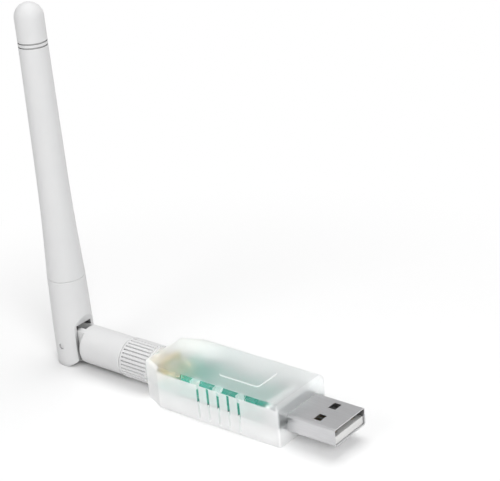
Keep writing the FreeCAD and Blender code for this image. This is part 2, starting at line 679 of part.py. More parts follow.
def elbow_barrel():
    """Round barrel that turns on the plug's stem, with the tongue of the fold hinge."""
    fit = SWIVEL_FIT
    neck = STEM_RADIUS + fit
    pocket = STEM_HEAD_RADIUS + fit
    pocket_front = STEM_REAR + STEM_HEAD_LENGTH + fit
    barrel = rod_x(BARREL_RADIUS, SHOULDER_X, BARREL_FRONT)
    rear_edge = [e for e in barrel.Edges if abs(e.BoundBox.XMax - SHOULDER_X) < 1e-6]
    barrel = barrel.makeFillet(BARREL_ROUND, rear_edge)
    front_edge = [e for e in barrel.Edges if abs(e.BoundBox.XMin - BARREL_FRONT) < 1e-6]
    barrel = barrel.makeChamfer(BARREL_CHAMFER, front_edge)
    half = TONGUE_WIDTH / 2
    tongue = rod_x(BARREL_RADIUS, PIVOT_X - BARREL_RADIUS, SHOULDER_X + BARREL_ROUND)
    reach = box(PIVOT_X, SHOULDER_X + BARREL_ROUND, -half, half, 0, HOUSING_HEIGHT)
    round_end = rod_y(BARREL_RADIUS, -half, half, PIVOT_X, AXIS_Z)
    tongue = tongue.common(fused(reach, round_end))
    body = fused(barrel, tongue)
    channel_half = COAX_RADIUS + COAX_FIT
    channel = box(PIVOT_X - BARREL_RADIUS, SHOULDER_X, -channel_half, channel_half,
                  AXIS_Z + COAX_CHANNEL_RISE, AXIS_Z + BARREL_RADIUS)
    return cut(body, rod_x(neck, pocket_front, BARREL_FRONT),
               rod_x(pocket, STEM_REAR - fit, pocket_front),
               rod_x(channel_half, SHOULDER_X - COAX_RADIUS, STEM_REAR),
               rod_y(HINGE_PIN_RADIUS + HINGE_FIT, -half, half, PIVOT_X, AXIS_Z), channel)


def hinge_pin():
    half = MAST_BASE_RADIUS - HINGE_PIN_INSET
    return rod_y(HINGE_PIN_RADIUS, -half, half, PIVOT_X, AXIS_Z)


def mast_base():
    """Lower mast: a fork with two ears round the elbow's tongue, and a spigot on top."""
    axis_point = vec(PIVOT_X, 0, 0)
    seam = SEAM_Z - MAST_SEAM_GROOVE
    groove_radius = MAST_SEAM_RADIUS - MAST_SEAM_GROOVE
    top = SEAM_Z + SPIGOT_LENGTH
    profile = [(0, 0), (MAST_BASE_RADIUS, 0), (MAST_BASE_RADIUS, ROOF_Z)]
    profile += [(MAST_SEAM_RADIUS, seam), (groove_radius, SEAM_Z)]
    profile += [(SPIGOT_RADIUS, SEAM_Z), (SPIGOT_RADIUS, top), (0, top)]
    points = [vec(PIVOT_X + r, 0, z) for r, z in profile]
    face = Part.Face(Part.makePolygon(points + [points[0]]))
    body = face.revolve(axis_point, vec(0, 0, 1), 360)
    reach = MAST_BASE_RADIUS
    slot_half = TONGUE_WIDTH / 2 + CHEEK_GAP
    slot = box(PIVOT_X - reach, PIVOT_X + reach, -slot_half, slot_half, 0, ROOF_Z)
    front = [vec(PIVOT_X + EAR_FRONT, -reach, 0), vec(PIVOT_X + reach, -reach, 0),
             vec(PIVOT_X + reach, -reach, ROOF_Z + CROTCH_BEVEL_RISE),
             vec(PIVOT_X + EAR_FRONT, -reach, ROOF_Z)]
    front_face = Part.Face(Part.makePolygon(front + [front[0]]))
    front_trim = front_face.extrude(vec(0, 2 * reach, 0))
    quarter = box(PIVOT_X, PIVOT_X + EAR_FRONT, -reach, reach, 0, AXIS_Z)
    heel = cut(quarter, rod_y(EAR_END, -reach, reach, PIVOT_X, AXIS_Z))
    pin_hole = rod_y(HINGE_PIN_RADIUS, -reach, reach, PIVOT_X, AXIS_Z)
    coax_bore = rod_z(COAX_RADIUS + COAX_FIT, ROOF_Z, top, PIVOT_X, 0)
    return cut(body, slot, front_trim, heel, pin_hole, coax_bore)


def eased_corner(before, corner, after, reach):
    """Arc that rounds the corner between two lines and touches each a reach from it."""
    to_before = (before - corner).normalize()
    to_after = (after - corner).normalize()
    half = to_before.getAngle(to_after) / 2
    inset = reach / math.cos(half) - reach * math.tan(half)
    middle = corner + (to_before + to_after).normalize() * inset
    return corner + to_before * reach, middle, corner + to_after * reach


def mast_sleeve():
    """Tapered hollow upper mast with two ring grooves below its rounded tip."""
    def at(radius, rise):
        return vec(PIVOT_X + radius, 0, AXIS_Z + rise)

    groove = MAST_SEAM_GROOVE
    start = at(MAST_SEAM_RADIUS - groove, MAST_SEAM_RISE)
    shoulder = at(MAST_SEAM_RADIUS, MAST_SEAM_RISE + groove)
    flank_top = MAST_RISE - RING_GROOVE_DROP - RING_GROOVE_WIDTH / 2
    here = at(MAST_TIP_RADIUS, flank_top)
    bend = eased_corner(shoulder, at(MAST_BEND_RADIUS, MAST_BEND_RISE), here, MAST_BEND_REACH)
    edges = [line(start, shoulder), line(shoulder, bend[0]), Part.Arc(*bend).toShape(),
             line(bend[2], here)]
    for number in range(2):
        low = flank_top + number * RING_GROOVE_PITCH
        deep = MAST_TIP_RADIUS - RING_GROOVE_DEPTH
        for radius, rise in ((deep, low), (deep, low + RING_GROOVE_WIDTH),
                             (MAST_TIP_RADIUS, low + RING_GROOVE_WIDTH)):
            edges.append(line(here, at(radius, rise)))
            here = at(radius, rise)
        if number == 0:
            edges.append(line(here, at(MAST_TIP_RADIUS, low + RING_GROOVE_PITCH)))
            here = at(MAST_TIP_RADIUS, low + RING_GROOVE_PITCH)
    dome_base = MAST_RISE - MAST_TIP_RADIUS
    dome_foot = at(MAST_TIP_RADIUS, dome_base)
    diagonal = MAST_TIP_RADIUS * math.sqrt(0.5)
    apex = at(0, MAST_RISE)
    edges.append(line(here, dome_foot))
    edges.append(Part.Arc(dome_foot, at(diagonal, dome_base + diagonal), apex).toShape())
    bore_top = MAST_RISE - MAST_TIP_WALL
    socket = SPIGOT_RADIUS + SPIGOT_FIT
    socket_top = MAST_SEAM_RISE + SPIGOT_LENGTH
    inside = [apex, at(0, bore_top), at(MAST_BORE_RADIUS, bore_top),
              at(MAST_BORE_RADIUS, socket_top), at(socket, socket_top),
              at(socket, MAST_SEAM_RISE), start]
    edges += [line(a, b) for a, b in zip(inside, inside[1:])]
    return turned_mast(edges)


def upper_coax():
    return rod_z(COAX_RADIUS, ROOF_Z, RADIATOR_TOP_Z, PIVOT_X, 0)


def radiator_sleeve():
    """Thin tube over the coax that forms the lower half of the dipole."""
    tube = rod_z(RADIATOR_RADIUS, RADIATOR_BOTTOM_Z, RADIATOR_TOP_Z, PIVOT_X, 0)
    inner = rod_z(RADIATOR_RADIUS - RADIATOR_SHEET, RADIATOR_BOTTOM_Z,
                  RADIATOR_TOP_Z - RADIATOR_SHEET, PIVOT_X, 0)
    return cut(tube, inner, upper_coax())


def radiator_wire():
    """Bare core of the coax that forms the upper half of the dipole."""
    return rod_z(WIRE_RADIUS, RADIATOR_TOP_Z, RADIATOR_TOP_Z + WIRE_LENGTH, PIVOT_X, 0)


def mast_spacer(bottom, bore):
    """Ring that centres the radiator in the mast."""
    ring = rod_z(MAST_BORE_RADIUS, bottom, bottom + SPACER_LENGTH, PIVOT_X, 0)
    return cut(ring, rod_z(bore, bottom, bottom + SPACER_LENGTH, PIVOT_X, 0))


def build():
    nodes = {
        "upper_shell": upper_shell(),
        "lower_shell": lower_shell(),
        "circuit_board": circuit_board(),
        "usb_plug_shell": usb_plug_shell(),
        "usb_insulator": usb_insulator(),
        "antenna_jack": antenna_jack(),
        "jack_insulator": jack_insulator(),
        "jack_contact": jack_contact(),
        "radio_chip": under_board(chip(RADIO_CHIP)),
        "usb_bridge_chip": under_board(chip(BRIDGE_CHIP)),
        "radio_crystal": under_board(crystal(RADIO_CRYSTAL)),
        "clock_crystal": under_board(crystal(CLOCK_CRYSTAL)),
        "voltage_regulator": under_board(voltage_regulator()),
        "power_led": led(POWER_LED),
        "status_led": led(STATUS_LED),
        "chip_capacitors": under_board(chip_group(RADIO_CAPACITORS, USB_CAPACITORS)),
        "chip_resistors": under_board(chip_group(RADIO_RESISTORS, USB_RESISTORS)),
        "coupling_nut": coupling_nut(),
        "nut_grip": nut_grip(),
        "plug_ferrule": plug_ferrule(),
        "plug_insulator": plug_insulator(),
        "plug_pin": plug_pin(),
        "lower_coax": lower_coax(),
        "elbow_barrel": elbow_barrel(),
        "hinge_pin": hinge_pin(),
        "mast_base": mast_base(),
        "mast_sleeve": mast_sleeve(),
        "upper_coax": upper_coax(),
        "radiator_sleeve": radiator_sleeve(),
        "radiator_wire": radiator_wire(),
        "lower_spacer": mast_spacer(RADIATOR_BOTTOM_Z + SPACER_INSET, RADIATOR_RADIUS),
        "upper_spacer": mast_spacer(RADIATOR_TOP_Z + SPACER_INSET, WIRE_RADIUS),
    }
    for name, (y, recess) in CONTACTS.items():
        nodes[name] = usb_contact(y, recess)
    return nodes


def main():
    os.makedirs("parts", exist_ok=True)
    for name, shape in build().items():
        solids = shape.Solids
        print(f"{name}: {len(solids)} solid(s), {shape.Volume:.2f} mm3, valid {shape.isValid()}")
        shape.exportStep(f"parts/{name}.step")


main()
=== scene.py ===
import math

import bmesh
import bpy
from mathutils import Matrix, Vector


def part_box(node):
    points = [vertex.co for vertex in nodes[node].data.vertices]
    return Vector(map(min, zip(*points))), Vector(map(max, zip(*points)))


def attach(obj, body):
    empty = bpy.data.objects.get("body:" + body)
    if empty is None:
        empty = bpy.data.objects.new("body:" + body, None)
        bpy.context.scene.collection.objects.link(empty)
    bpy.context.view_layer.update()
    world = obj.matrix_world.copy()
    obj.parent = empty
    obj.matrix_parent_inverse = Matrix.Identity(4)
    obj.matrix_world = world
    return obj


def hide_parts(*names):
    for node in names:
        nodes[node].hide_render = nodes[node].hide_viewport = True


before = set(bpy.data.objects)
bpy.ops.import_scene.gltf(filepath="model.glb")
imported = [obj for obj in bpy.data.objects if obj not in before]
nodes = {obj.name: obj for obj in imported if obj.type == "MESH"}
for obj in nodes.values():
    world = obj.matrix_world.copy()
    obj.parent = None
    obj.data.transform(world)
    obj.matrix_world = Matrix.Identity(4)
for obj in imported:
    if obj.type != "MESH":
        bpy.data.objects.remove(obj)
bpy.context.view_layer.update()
MM = 0.001

# Camera, from a perspective fit to the photograph's corners
PHOTO_WIDTH = 500
PHOTO_HEIGHT = 481
FOCAL_PIXELS = 1538.73
CENTRE_PIXEL = (240.94, 238.06)
CAMERA_AZIMUTH = math.radians(40.88)
CAMERA_ELEVATION = math.radians(23.67)
CAMERA_ROLL = math.radians(-5.31)
CAMERA_DISTANCE = 453.48 * MM
CAMERA_TARGET = Vector((-54.02, 71.08, 6.0)) * MM
SENSOR_WIDTH = 36.0
CLIP_START = 10 * MM

# Light, with places and sizes in metres, powers in watts and shares of white
LIGHT_TARGET = (-0.01, 0, 0.02)
TOP_LIGHT_PLACE = (-0.05, 0.2, 0.75)
RIGHT_LIGHT_PLACE = (0.47, -0.32, 0.35)
LEFT_LIGHT_PLACE = (-0.12, -0.53, 0.32)
AMBIENT_LEVEL = 0.39
TOP_LIGHT_POWER = 2.6
TOP_LIGHT_SIZE = 0.6
RIGHT_LIGHT_POWER = 2.1
LEFT_LIGHT_POWER = 0.62
SIDE_LIGHT_SIZE = 0.35
LAMP_SHARE = (0.96, 0.965, 0.965)
MIRRORED_WALL = 0.6
WALL_START = 0.05
WALL_FULL = 0.4
FLOOR_SIZE = 12.0
FLOOR_ALBEDO = 0.96
FLOOR_BOUNCE = 0.7
FLOOR_ROUGHNESS = 0.9
FLOOR_FADE_START = 0.06
FLOOR_FADE_END = 0.14

# Housing: clarity is the share of light that passes a face
EDGE_IOR = 1.06
EDGE_COAT = 0.15
EDGE_COAT_ROUGHNESS = 0.1
EDGE_MIDDLE = 3 * MM
POLISH_REACH = 12 * MM
POLISH_END = 15 * MM
POLISHED = 0.18
DULL = 0.9
FROST_IOR = 1.15
FROST_ROUGHNESS = (0.7, 0.8)
FROST_BLOTCHES = 700
FROST_GRAIN = 12000
FROST_DEPTH = 3e-6
VEIL_START = -8 * MM
VEIL_END = 4 * MM
VEIL_CLARITY = (0.85, 0.5)
NOSE_VEIL_START = -17 * MM
NOSE_VEIL_END = -5 * MM
NOSE_SHADE = (0.76, 0.75, 0.735)
VEIL_SHADE = (0.73, 0.74, 0.74)
SOCKET_VEIL_START = 3.2 * MM
SOCKET_VEIL_END = 4.8 * MM
SOCKET_CLARITY = (0.15, 0.95)
SOCKET_ROUGHNESS = (0.35, 0.45)
SOCKET_SHADE = (0.93, 0.935, 0.935)

# Other surfaces
PLASTIC_SHINE = 0.2
BLOTCH_DETAIL = 4
LINE_DETAIL = 3
RESIST_DARK = (0.005, 0.18, 0.13)
RESIST_LIGHT = (0.005, 0.20, 0.145)
TRACK_SHADE = (0.01, 0.28, 0.21)
TRACK_SCALE = 420
TRACK_WIDTH = 0.03
TRACK_DEPTH = 8e-6
RESIST_GRAIN = 2000
LENS_CLARITY = 0.6
LENS_GRAIN = 3000

# Painted shade in creases, from ambient occlusion: reach, darkest share, and the openness where
# the shade is darkest and where it ends
CREASE_SHADE_SAMPLES = 8
PAINTED_CREASE_SHADES = {"plain": (3 * MM, 0.06, 0.15, 0.65), "grip": (0.35 * MM, 0.45, 0.2, 0.7),
           "metal": (0.6 * MM, 0.55, 0.2, 0.7)}

# Sorting of the housing's faces by their tilt and place
LEVEL = 0.995
UPRIGHT = 0.02
OUTER_DEPTH = 0.02 * MM
PANEL_ZONE = 0.5 * MM
GUSSET_TILT = 0.5
SAME_PLACE_DIGITS = 6
SMOOTH_ANGLE = math.radians(35)

# Thread of the jack, 36 turns to the inch
THREAD_RADIUS = 3.175 * MM
THREAD_PITCH = 25.4 / 36 * MM
THREAD_DEPTH = 0.36 * MM
THREAD_RUN_OUT = 0.5 * MM
THREAD_STEPS = 10
WELD_DISTANCE = 1e-7
ROUND_TOLERANCE = 5e-6
SAME_ANGLE_DIGITS = 5


def surface_of(tree):
    """Socket of the output that takes the finished shader."""
    kinds = ("OUTPUT_MATERIAL", "OUTPUT_WORLD")
    return next(n for n in tree.nodes if n.type in kinds).inputs["Surface"]


def mix_shaders(tree, factor, first, second):
    """Output that runs from one shader to another."""
    mix = tree.nodes.new("ShaderNodeMixShader")
    tree.links.new(factor, mix.inputs[0])
    tree.links.new(first.outputs[0], mix.inputs[1])
    tree.links.new(second.outputs[0], mix.inputs[2])
    tree.links.new(mix.outputs[0], surface_of(tree))


def calculate(tree, operation, *values):
    """Result of a Math node over sockets and numbers."""
    node = tree.nodes.new("ShaderNodeMath")
    node.operation = operation
    for socket, value in zip(node.inputs, values):
        if isinstance(value, float):
            socket.default_value = value
        else:
            tree.links.new(value, socket)
    return node.outputs[0]


def parts_of(tree, vector):
    """X, Y and Z of a vector, by name."""
    node = tree.nodes.new("ShaderNodeSeparateXYZ")
    tree.links.new(vector, node.inputs["Vector"])
    return node.outputs


def ramp(tree, value, start, end, low=0.0, high=1.0):
    """Soft step from low to high between two values, held beyond them."""
    node = tree.nodes.new("ShaderNodeMapRange")
    node.interpolation_type = "SMOOTHSTEP"
    node.inputs["From Min"].default_value = start
    node.inputs["From Max"].default_value = end
    node.inputs["To Min"].default_value = low
    node.inputs["To Max"].default_value = high
    tree.links.new(value, node.inputs["Value"])
    return node.outputs["Result"]


def new_material(name):
    """Empty node material with its output, and a Principled shader on it."""
    made = bpy.data.materials.new(name)
    made.use_nodes = True
    tree = made.node_tree
    tree.nodes.clear()
    output = tree.nodes.new("ShaderNodeOutputMaterial")
    shader = tree.nodes.new("ShaderNodeBsdfPrincipled")
    tree.links.new(shader.outputs["BSDF"], output.inputs["Surface"])
    return made, tree, shader


def place(tree, stretch=(1, 1, 1)):
    """Object coordinates, scaled along the axes."""
    coordinates = tree.nodes.new("ShaderNodeTexCoord")
    mapping = tree.nodes.new("ShaderNodeMapping")
    mapping.inputs["Scale"].default_value = stretch
    tree.links.new(coordinates.outputs["Object"], mapping.inputs["Vector"])
    return mapping.outputs["Vector"]


def noise(tree, vector, scale, detail=2.0):
    """Noise factor over a vector, with features about 1 / scale metres wide."""
    texture = tree.nodes.new("ShaderNodeTexNoise")
    texture.inputs["Scale"].default_value = scale
    texture.inputs["Detail"].default_value = detail
    tree.links.new(vector, texture.inputs["Vector"])
    return texture.outputs["Fac"]


def spread(tree, factor, low, high):
    """Factor from 0 to 1 taken to a range."""
    node = tree.nodes.new("ShaderNodeMapRange")
    node.inputs["To Min"].default_value = low
    node.inputs["To Max"].default_value = high
    tree.links.new(factor, node.inputs["Value"])
    return node.outputs["Result"]


def tint(tree, factor, dark, light):
    """Factor from 0 to 1 taken to a run of colour."""
    node = tree.nodes.new("ShaderNodeMix")
    node.data_type = "RGBA"
    node.inputs["A"].default_value = (*dark, 1)
    node.inputs["B"].default_value = (*light, 1)
    tree.links.new(factor, node.inputs["Factor"])
    return node.outputs["Result"]


def paint_crease_shade(tree, colour, kind):
    """Colour with painted shade, which falls to its darkest share in grooves and inner corners.
    """
    reach, darkest, shut, open_space = PAINTED_CREASE_SHADES[kind]
    corners = tree.nodes.new("ShaderNodeAmbientOcclusion")
    corners.samples = CREASE_SHADE_SAMPLES
    corners.inputs["Distance"].default_value = reach
    shade = tree.nodes.new("ShaderNodeMapRange")
    shade.inputs["From Min"].default_value = shut
    shade.inputs["From Max"].default_value = open_space
    shade.inputs["To Min"].default_value = darkest
    tree.links.new(corners.outputs["AO"], shade.inputs["Value"])
    mix = tree.nodes.new("ShaderNodeVectorMath")
    mix.operation = "SCALE"
    tree.links.new(colour, mix.inputs[0])
    tree.links.new(shade.outputs["Result"], mix.inputs["Scale"])
    return mix.outputs[0]


def bump(tree, shader, factor, depth):
    """Bump of a given depth in metres."""
    node = tree.nodes.new("ShaderNodeBump")
    node.inputs["Distance"].default_value = depth
    node.inputs["Strength"].default_value = 1.0
    tree.links.new(factor, node.inputs["Height"])
    tree.links.new(node.outputs["Normal"], shader.inputs["Normal"])


def plastic(name, dark, light, roughness, grain=9000, depth=4e-6, blotch=120, kind="plain"):
    """Moulded plastic: a faint mottle in colour and sheen, a fine grain, and painted shade in
    its creases.
    """
    made, tree, shader = new_material(name)
    shader.inputs["Specular IOR Level"].default_value = PLASTIC_SHINE
    vector = place(tree)
    mottle = noise(tree, vector, blotch, BLOTCH_DETAIL)
    # painted shade: the colour darkens in grooves, seams and inner corners by ambient occlusion
    colour = paint_crease_shade(tree, tint(tree, mottle, dark, light), kind)
    tree.links.new(colour, shader.inputs["Base Color"])
    tree.links.new(spread(tree, mottle, *roughness), shader.inputs["Roughness"])
    bump(tree, shader, noise(tree, vector, grain), depth)
    return made


def metal(name, dark, light, roughness, stretch=(1, 1, 1), grain=4000, depth=1e-6):
    """Plated metal with fine lines, drawn along an axis whose scale is small, and painted shade
    in its creases.
    """
    made, tree, shader = new_material(name)
    shader.inputs["Metallic"].default_value = 1.0
    vector = place(tree, stretch)
    lines = noise(tree, vector, grain, LINE_DETAIL)
    # painted shade: the colour darkens in gaps and inner corners by ambient occlusion
    colour = paint_crease_shade(tree, tint(tree, lines, dark, light), "metal")
    tree.links.new(colour, shader.inputs["Base Color"])
    tree.links.new(spread(tree, lines, *roughness), shader.inputs["Roughness"])
    bump(tree, shader, lines, depth)
    return made


def let_lamps_through(tree, shader):
    """Shadow rays pass a clear shader, so that lamps light what lies inside and below."""
    path = tree.nodes.new("ShaderNodeLightPath")
    open_way = tree.nodes.new("ShaderNodeBsdfTransparent")
    open_way.inputs["Color"].default_value = (*LAMP_SHARE, 1)
    mix_shaders(tree, path.outputs["Is Shadow Ray"], shader, open_way)


def clear_plastic(name, shade):
    """Polished faces of the housing, which turn dull towards both of its ends."""
    made, tree, shader = new_material(name)
    offset = calculate(tree, "SUBTRACT", parts_of(tree, place(tree))["X"], EDGE_MIDDLE)
    distance = calculate(tree, "ABSOLUTE", offset)
    dull = ramp(tree, distance, POLISH_REACH, POLISH_END, POLISHED, DULL)
    tree.links.new(dull, shader.inputs["Roughness"])
    shader.inputs["Base Color"].default_value = (*shade, 1)
    shader.inputs["Transmission Weight"].default_value = 1.0
    shader.inputs["IOR"].default_value = EDGE_IOR
    shader.inputs["Coat Weight"].default_value = EDGE_COAT
    shader.inputs["Coat Roughness"].default_value = EDGE_COAT_ROUGHNESS
    let_lamps_through(tree, shader)
    return made


def frost(tree, shader, vector, roughness=FROST_ROUGHNESS):
    """Gives a shader the texture of the housing, which blurs what lies behind it."""
    shader.inputs["IOR"].default_value = FROST_IOR
    blotches = noise(tree, vector, FROST_BLOTCHES, LINE_DETAIL)
    tree.links.new(spread(tree, blotches, *roughness), shader.inputs["Roughness"])
    bump(tree, shader, noise(tree, vector, FROST_GRAIN), FROST_DEPTH)
    let_lamps_through(tree, shader)


def frosted_plastic(name, clarity, shade):
    """Textured faces of the housing that are alike all over."""
    made, tree, shader = new_material(name)
    shader.inputs["Base Color"].default_value = (*shade, 1)
    shader.inputs["Transmission Weight"].default_value = clarity
    frost(tree, shader, place(tree))
    return made


def socket_plastic():
    """End of the lower shell, milky at its foot and clear where it holds the plug."""
    made, tree, shader = new_material("housing_socket")
    vector = place(tree)
    height = parts_of(tree, vector)["Z"]
    clarity = ramp(tree, height, SOCKET_VEIL_START, SOCKET_VEIL_END, *SOCKET_CLARITY)
    tree.links.new(clarity, shader.inputs["Transmission Weight"])
    shader.inputs["Base Color"].default_value = (*SOCKET_SHADE, 1)
    frost(tree, shader, vector, SOCKET_ROUGHNESS)
    return made


def veiled_plastic():
    """Textured top of the housing, whose veil grows denser towards the plug."""
    made, tree, shader = new_material("housing_veil")
    vector = place(tree)
    along = parts_of(tree, vector)["X"]
    clarity = ramp(tree, along, VEIL_START, VEIL_END, *VEIL_CLARITY)
    tree.links.new(clarity, shader.inputs["Transmission Weight"])
    nose = ramp(tree, along, NOSE_VEIL_START, NOSE_VEIL_END)
    tree.links.new(tint(tree, nose, NOSE_SHADE, VEIL_SHADE), shader.inputs["Base Color"])
    frost(tree, shader, vector)
    return made


def board_material():
    """Teal solder resist with faint tracks below it."""
    made, tree, shader = new_material("board_resist")
    vector = place(tree)
    tracks = tree.nodes.new("ShaderNodeTexBrick")
    tracks.inputs["Scale"].default_value = TRACK_SCALE
    tracks.inputs["Mortar Size"].default_value = TRACK_WIDTH
    tracks.inputs["Color1"].default_value = (*RESIST_DARK, 1)
    tracks.inputs["Color2"].default_value = (*RESIST_LIGHT, 1)
    tracks.inputs["Mortar"].default_value = (*TRACK_SHADE, 1)
    tree.links.new(vector, tracks.inputs["Vector"])
    tree.links.new(tracks.outputs["Color"], shader.inputs["Base Color"])
    sheen = spread(tree, noise(tree, vector, RESIST_GRAIN), 0.25, 0.35)
    tree.links.new(sheen, shader.inputs["Roughness"])
    bump(tree, shader, tracks.outputs["Fac"], TRACK_DEPTH)
    return made


def led_material(name, colour):
    """Clear resin over a small light."""
    made, tree, shader = new_material(name)
    shader.inputs["Transmission Weight"].default_value = LENS_CLARITY
    shader.inputs["Base Color"].default_value = (*colour, 1)
    sheen = spread(tree, noise(tree, place(tree), LENS_GRAIN), 0.1, 0.2)
    tree.links.new(sheen, shader.inputs["Roughness"])
    return made


def smooth(obj):
    """Soft shading over small angles, with sharp edges kept."""
    bpy.context.view_layer.objects.active = obj
    with bpy.context.temp_override(object=obj, active_object=obj, selected_objects=[obj],
                                   selected_editable_objects=[obj]):
        bpy.ops.object.shade_smooth_by_angle(angle=SMOOTH_ANGLE)


def paint(name, *materials):
    """Gives a node its materials, the first of them on every face."""
    obj = nodes[name]
    obj.data.materials.clear()
    for made in materials:
        obj.data.materials.append(made)
    for face in obj.data.polygons:
        face.material_index = 0
    return obj


def is_outer(face, points):
    """Whether no point of a shell lies beyond a face's plane."""
    offset = face.center.dot(face.normal)
    return max(point.dot(face.normal) for point in points) < offset + OUTER_DEPTH


def corners_of(obj, face):
    """Corner points of a face, rounded so that they compare equal on neighbouring faces."""
    points = [obj.data.vertices[i].co for i in face.vertices]
    return {tuple(round(value, SAME_PLACE_DIGITS) for value in point) for point in points}


def gusset_faces(obj):
    """Faces of the webs under the top: their slopes and the sides that share two corners."""
    slopes = [face for face in obj.data.polygons if -LEVEL < face.normal.z < -GUSSET_TILT]
    rims = set().union(*(corners_of(obj, face) for face in slopes))
    sides = [face for face in obj.data.polygons
             if abs(face.normal.x) > LEVEL and len(rims & corners_of(obj, face)) == 2]
    return slopes + sides


def frost_upper(obj):
    """Upper shell: clear inside, at its end and on the near long edge of its top.

    The far long edge has frost as well, because a clear one is black from straight above.
    """
    clear, veil, thin, milky, end = range(5)
    points = [vertex.co for vertex in obj.data.vertices]
    top = max(point.z for point in points)
    for face in obj.data.polygons:
        tilt = face.normal.z
        if face.center.z > top - PANEL_ZONE:
            face.material_index = veil if tilt > LEVEL else milky
        if is_outer(face, points) and tilt < LEVEL:
            long_edge = tilt > UPRIGHT and abs(face.normal.x) < UPRIGHT
            if face.normal.x > abs(face.normal.y):
                # the flat end face takes the grey-tinted copy of the clear plastic, a painted
                # shade
                face.material_index = end if face.normal.x > LEVEL else thin
            elif long_edge:
                face.material_index = clear if face.normal.y < 0 else thin
            else:
                face.material_index = milky
    for face in gusset_faces(obj):
        face.material_index = thin


def frost_lower(obj):
    """Lower shell: milky, but clear on the inner side walls, the rim and the lip."""
    clear, milky, socket = range(3)
    points = [vertex.co for vertex in obj.data.vertices]
    walls = [face for face in obj.data.polygons if abs(face.normal.y) > LEVEL]
    outside = {face.index for face in walls if is_outer(face, points)}
    rim = max(points[i].z for face in walls if face.index in outside for i in face.vertices)
    for face in obj.data.polygons:
        inner_wall = abs(face.normal.y) > LEVEL and face.index not in outside
        top = max(points[i].z for i in face.vertices)
        on_rim = face.normal.z > LEVEL and top > rim - OUTER_DEPTH
        on_lip = top > rim + OUTER_DEPTH
        face.material_index = clear if inner_wall or on_rim or on_lip else milky
        if face.normal.x > LEVEL and is_outer(face, points):
            face.material_index = socket


def dress_nodes():
    """A material for every node of the frame."""
    # Painted shade gathers in creases: the plain kind in the fork's slot and the mast's
    # grooves, the grip kind in the nut's grooves
    white = plastic("antenna_plastic", (0.72, 0.72, 0.725), (0.77, 0.77, 0.77), (0.38, 0.48))
    grip = plastic("grip_plastic", (0.74, 0.74, 0.745), (0.79, 0.79, 0.79), (0.42, 0.52),
                   kind="grip")
    tongue = plastic("plug_plastic", (0.78, 0.78, 0.77), (0.84, 0.84, 0.83), (0.35, 0.45))
    ptfe = plastic("ptfe", (0.82, 0.82, 0.81), (0.88, 0.88, 0.87), (0.3, 0.4))
    black = plastic("chip_epoxy", (0.012, 0.012, 0.013), (0.03, 0.03, 0.032), (0.45, 0.6))
    tan = plastic("capacitor_body", (0.33, 0.20, 0.11), (0.45, 0.30, 0.18), (0.4, 0.5))
    glaze = plastic("resistor_glaze", (0.01, 0.01, 0.01), (0.03, 0.03, 0.03), (0.2, 0.3))
    jacket = plastic("coax_jacket", (0.30, 0.15, 0.06), (0.38, 0.2, 0.09), (0.3, 0.4))
    foam = plastic("spacer_foam", (0.7, 0.7, 0.68), (0.8, 0.8, 0.78), (0.7, 0.85), grain=3000,
                   depth=3e-5)
    steel = metal("plug_steel", (0.52, 0.52, 0.53), (0.64, 0.64, 0.65), (0.26, 0.34),
                  stretch=(0.05, 1, 1))
    can = metal("crystal_can", (0.55, 0.55, 0.55), (0.65, 0.65, 0.65), (0.2, 0.3))
    gold = metal("gold_plate", (0.76, 0.64, 0.42), (0.84, 0.72, 0.50), (0.35, 0.45))
    brass = metal("radiator_brass", (0.55, 0.40, 0.18), (0.65, 0.48, 0.22), (0.25, 0.35))
    clear = clear_plastic("housing_clear", (0.985, 0.995, 0.995))
    # painted shade: the end face's copy of the clear plastic is tinted grey, darker than the
    # same plastic on the edges
    end = clear_plastic("housing_end_painted_shade", (0.80, 0.805, 0.805))
    thin = frosted_plastic("housing_thin_frost", 0.7, (0.85, 0.855, 0.855))
    milky = frosted_plastic("housing_milky", 0.3, (0.97, 0.975, 0.975))
    base = frosted_plastic("housing_base", 0.15, (0.97, 0.97, 0.97))
    frost_upper(paint("upper_shell", clear, veiled_plastic(), thin, milky, end))
    frost_lower(paint("lower_shell", clear, base, socket_plastic()))
    paint("circuit_board", board_material())
    paint("power_led", led_material("power_lens", (0.85, 0.9, 0.8)))
    paint("status_led", led_material("status_lens", (0.8, 0.85, 0.95)))
    for made, names in (
            (white, ("elbow_barrel", "hinge_pin", "mast_base", "mast_sleeve")),
            (grip, ("nut_grip",)), (tongue, ("usb_insulator",)),
            (ptfe, ("jack_insulator", "plug_insulator")),
            (black, ("radio_chip", "usb_bridge_chip", "voltage_regulator")),
            (tan, ("chip_capacitors",)), (glaze, ("chip_resistors",)),
            (jacket, ("lower_coax", "upper_coax")), (foam, ("lower_spacer", "upper_spacer")),
            (steel, ("usb_plug_shell",)), (can, ("radio_crystal", "clock_crystal")),
            (gold, ("usb_contact_power", "usb_contact_data_minus", "usb_contact_data_plus",
                    "usb_contact_ground", "antenna_jack", "jack_contact", "coupling_nut",
                    "plug_ferrule", "plug_pin")),
            (brass, ("radiator_sleeve", "radiator_wire"))):
        for name in names:
            paint(name, made)
    for obj in nodes.values():
        smooth(obj)


def thread_radius(x, turn, start, end):
    """Radius of the thread at a place along it and a share of a turn, plain at both ends."""
    wave = 1 - abs(2 * ((x / THREAD_PITCH + turn) % 1) - 1)
    fade = min(1, max(0, min(x - start, end - x) / THREAD_RUN_OUT))
    return THREAD_RADIUS - THREAD_DEPTH * wave * fade


